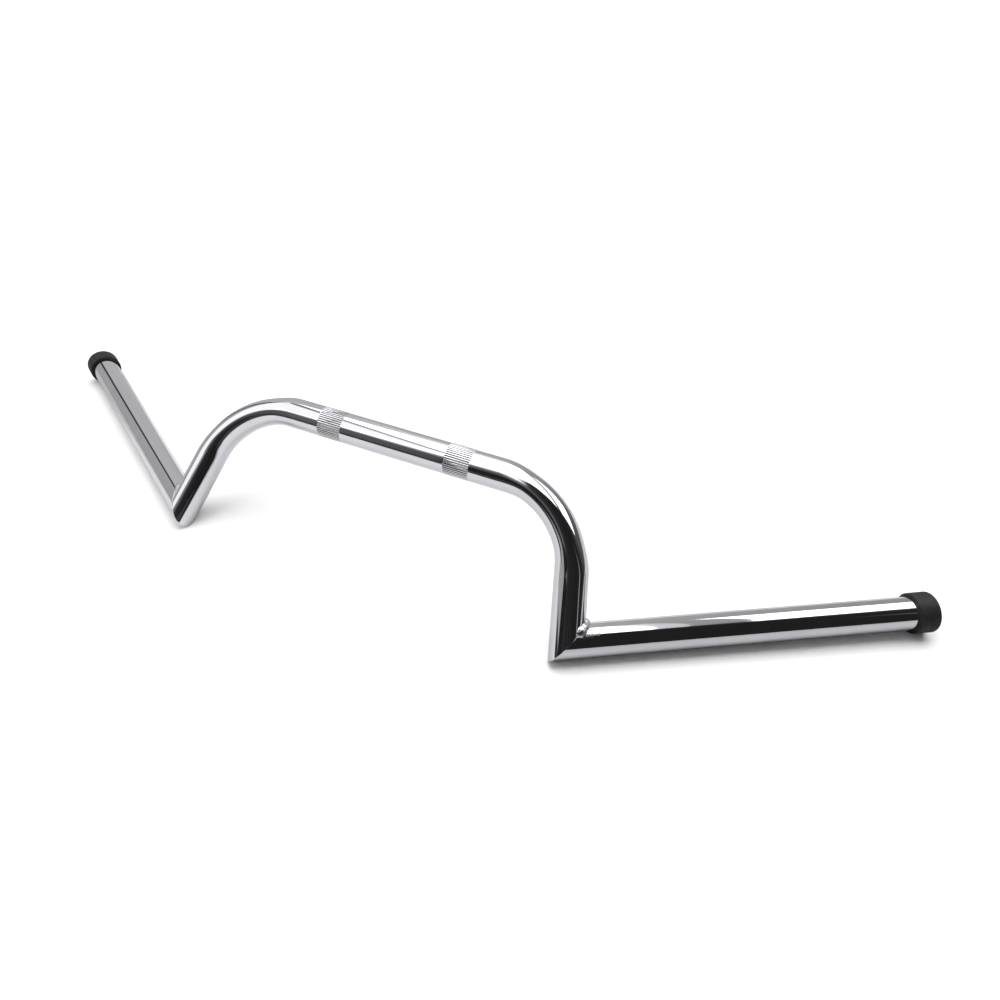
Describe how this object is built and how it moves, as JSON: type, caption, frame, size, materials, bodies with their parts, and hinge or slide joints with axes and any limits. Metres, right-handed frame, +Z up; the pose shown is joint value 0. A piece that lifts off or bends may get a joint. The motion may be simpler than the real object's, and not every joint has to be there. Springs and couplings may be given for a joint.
{
  "type": "motorcycle drag handlebar",
  "caption": "Chromed steel tube handlebar with an arched, knurled clamp section, mitred welded corners, swept-back straight grip tubes and black push-on end caps.",
  "frame": {"origin": "middle of the clamp straight, on the tube's axis", "axes": "+X along the clamp straight towards the right grip, +Z up with the grip tubes lying level, +Y the way the grips sweep back"},
  "size_m": [0.7368, 0.1525, 0.0912],
  "materials": {
    "chrome": "polished chrome plate on steel tube",
    "weld": "chrome plate over an undressed weld bead",
    "cap": "matt black moulded rubber"
  },
  "bodies": {
    "root": {"centre_bend_tube": "chrome", "right_grip_tube": "chrome", "left_grip_tube": "chrome", "right_corner_weld": "weld", "left_corner_weld": "weld", "right_end_cap": "cap", "left_end_cap": "cap"}
  },
  "joints": []
}
